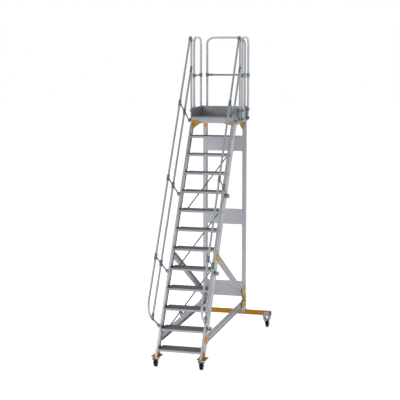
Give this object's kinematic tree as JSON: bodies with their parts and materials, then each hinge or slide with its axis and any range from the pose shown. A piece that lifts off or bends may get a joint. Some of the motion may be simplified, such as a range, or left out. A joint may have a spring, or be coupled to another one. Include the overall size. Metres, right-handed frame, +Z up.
{
  "type": "rolling warehouse ladder",
  "caption": "Steep rolling stairs to a guarded standing platform, with handrails, a braced rear frame on a wide base beam, and swivel casters with foot brakes.",
  "frame": {"origin": "on the floor, midway between the ladder's sides and midway between its front and rear ends", "axes": "+X to the right seen from the foot of the stairs, +Y from the foot of the stairs to the rear frame, +Z up"},
  "size_m": [1.412, 2.6345, 4.2319],
  "materials": {
    "bare_aluminium": "mill finish, satin",
    "step_aluminium": "ribbed, satin",
    "board_aluminium": "satin",
    "tube_aluminium": "satin",
    "clamp_metal": "fine cast, satin",
    "ochre_paint": "powder coated, satin",
    "zinc_steel": "bright zinc",
    "dark_steel": "dull zinc",
    "dark_plastic": "matt",
    "tyre_rubber": "matt"
  },
  "bodies": {
    "ladder": {"stile_left": "bare_aluminium", "stile_right": "bare_aluminium", "tread_01": "step_aluminium", "tread_02": "step_aluminium", "tread_03": "step_aluminium", "tread_04": "step_aluminium", "tread_05": "step_aluminium", "tread_06": "step_aluminium", "tread_07": "step_aluminium", "tread_08": "step_aluminium", "tread_09": "step_aluminium", "tread_10": "step_aluminium", "tread_11": "step_aluminium", "tread_12": "step_aluminium", "tread_end_caps": "dark_plastic", "tread_bolts": "dark_steel", "deck_planks": "step_aluminium", "platform_cross_beams": "bare_aluminium", "platform_side_beams": "bare_aluminium", "side_toe_boards": "board_aluminium", "rear_toe_board": "board_aluminium", "post_left": "bare_aluminium", "post_right": "bare_aluminium", "back_panels": "bare_aluminium", "base_beam": "ochre_paint", "beam_end_caps": "dark_plastic", "post_foot_clamps": "zinc_steel", "upper_braces": "bare_aluminium", "lower_braces": "bare_aluminium", "brace_brackets": "ochre_paint", "platform_gussets": "ochre_paint", "tie_rods": "dark_steel", "handrail_left": "tube_aluminium", "handrail_right": "tube_aluminium", "mid_rails": "tube_aluminium", "rail_struts": "tube_aluminium", "strut_brackets": "zinc_steel", "rail_clamps": "clamp_metal", "side_guard_left": "tube_aluminium", "side_guard_right": "tube_aluminium", "rear_guard": "tube_aluminium", "side_guard_rails": "tube_aluminium", "rear_guard_rail": "tube_aluminium", "guard_clamps": "clamp_metal", "leg_clamps": "clamp_metal", "handrail_elbows": "clamp_metal", "foot_brackets": "ochre_paint", "caster_saddles": "zinc_steel", "caster_plates": "zinc_steel", "frame_bolts": "dark_steel"},
    "swivel_front_left": {"fork_front_left": "zinc_steel"},
    "roller_front_left": {"wheel_front_left": "tyre_rubber"},
    "brake_front_left": {"brake_pedal_front_left": "zinc_steel"},
    "swivel_front_right": {"fork_front_right": "zinc_steel"},
    "roller_front_right": {"wheel_front_right": "tyre_rubber"},
    "brake_front_right": {"brake_pedal_front_right": "zinc_steel"},
    "swivel_rear_left": {"fork_rear_left": "zinc_steel"},
    "roller_rear_left": {"wheel_rear_left": "tyre_rubber"},
    "swivel_rear_right": {"fork_rear_right": "zinc_steel"},
    "roller_rear_right": {"wheel_rear_right": "tyre_rubber"}
  },
  "joints": [
    {"name": "swivel_front_left_turn", "type": "hinge", "parent": "ladder", "child": "swivel_front_left", "pos_m": [-0.305, -1.1152, 0.115], "axis": [0, 0, 1], "continuous": true},
    {"name": "roller_front_left_spin", "type": "hinge", "parent": "swivel_front_left", "child": "roller_front_left", "pos_m": [-0.305, -1.1512, 0.05], "axis": [1, 0, 0], "continuous": true},
    {"name": "brake_front_left_press", "type": "hinge", "parent": "swivel_front_left", "child": "brake_front_left", "pos_m": [-0.305, -1.1772, 0.108], "axis": [1, 0, 0], "range_deg": [0, 24]},
    {"name": "swivel_front_right_turn", "type": "hinge", "parent": "ladder", "child": "swivel_front_right", "pos_m": [0.305, -1.1152, 0.115], "axis": [0, 0, 1], "continuous": true},
    {"name": "roller_front_right_spin", "type": "hinge", "parent": "swivel_front_right", "child": "roller_front_right", "pos_m": [0.305, -1.1512, 0.05], "axis": [1, 0, 0], "continuous": true},
    {"name": "brake_front_right_press", "type": "hinge", "parent": "swivel_front_right", "child": "brake_front_right", "pos_m": [0.305, -1.1772, 0.108], "axis": [1, 0, 0], "range_deg": [0, 24]},
    {"name": "swivel_rear_left_turn", "type": "hinge", "parent": "ladder", "child": "swivel_rear_left", "pos_m": [-0.642, 1.23134, 0.115], "axis": [0, 0, 1], "continuous": true},
    {"name": "roller_rear_left_spin", "type": "hinge", "parent": "swivel_rear_left", "child": "roller_rear_left", "pos_m": [-0.642, 1.26734, 0.05], "axis": [1, 0, 0], "continuous": true},
    {"name": "swivel_rear_right_turn", "type": "hinge", "parent": "ladder", "child": "swivel_rear_right", "pos_m": [0.642, 1.23134, 0.115], "axis": [0, 0, 1], "continuous": true},
    {"name": "roller_rear_right_spin", "type": "hinge", "parent": "swivel_rear_right", "child": "roller_rear_right", "pos_m": [0.642, 1.26734, 0.05], "axis": [1, 0, 0], "continuous": true}
  ]
}
